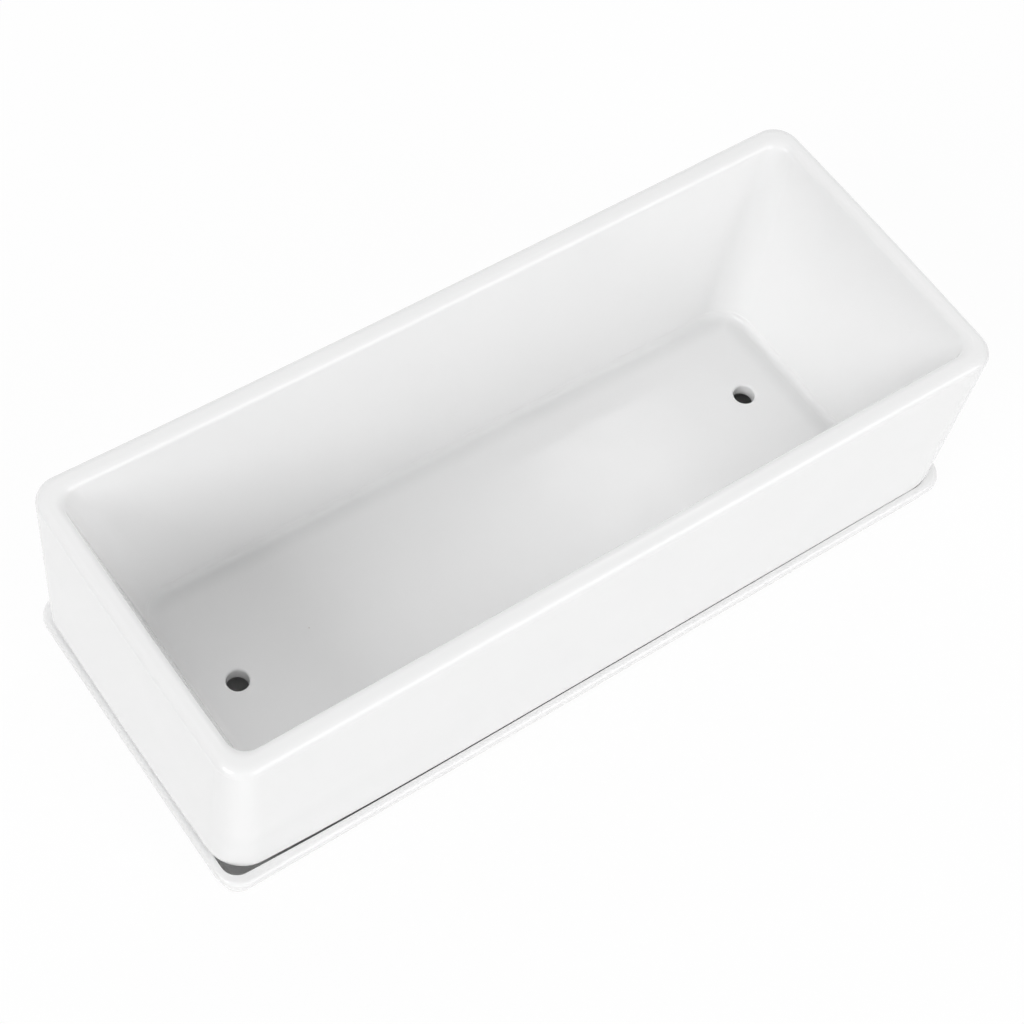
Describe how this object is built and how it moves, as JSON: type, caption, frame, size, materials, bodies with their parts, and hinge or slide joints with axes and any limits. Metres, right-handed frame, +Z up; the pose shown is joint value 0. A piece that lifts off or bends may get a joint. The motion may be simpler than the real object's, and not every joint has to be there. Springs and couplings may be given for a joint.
{
  "type": "indoor herb planter",
  "caption": "Low rectangular glazed ceramic trough for growing herbs indoors, with drain holes in its floor, standing in a shallow matching saucer.",
  "frame": {"origin": "on the table, under the middle of the saucer", "axes": "+X along the trough, +Y across it, +Z up"},
  "size_m": [0.3016, 0.1238, 0.0854],
  "materials": {
    "white_glaze": "glossy white glaze, wiped off the feet"
  },
  "bodies": {
    "saucer": {"saucer": "white_glaze"},
    "pot": {"pot": "white_glaze"}
  },
  "joints": [
    {"name": "pot_lift", "type": "slide", "parent": "saucer", "child": "pot", "axis": [0, 0, 1], "range_m": [0, 0.1]}
  ]
}
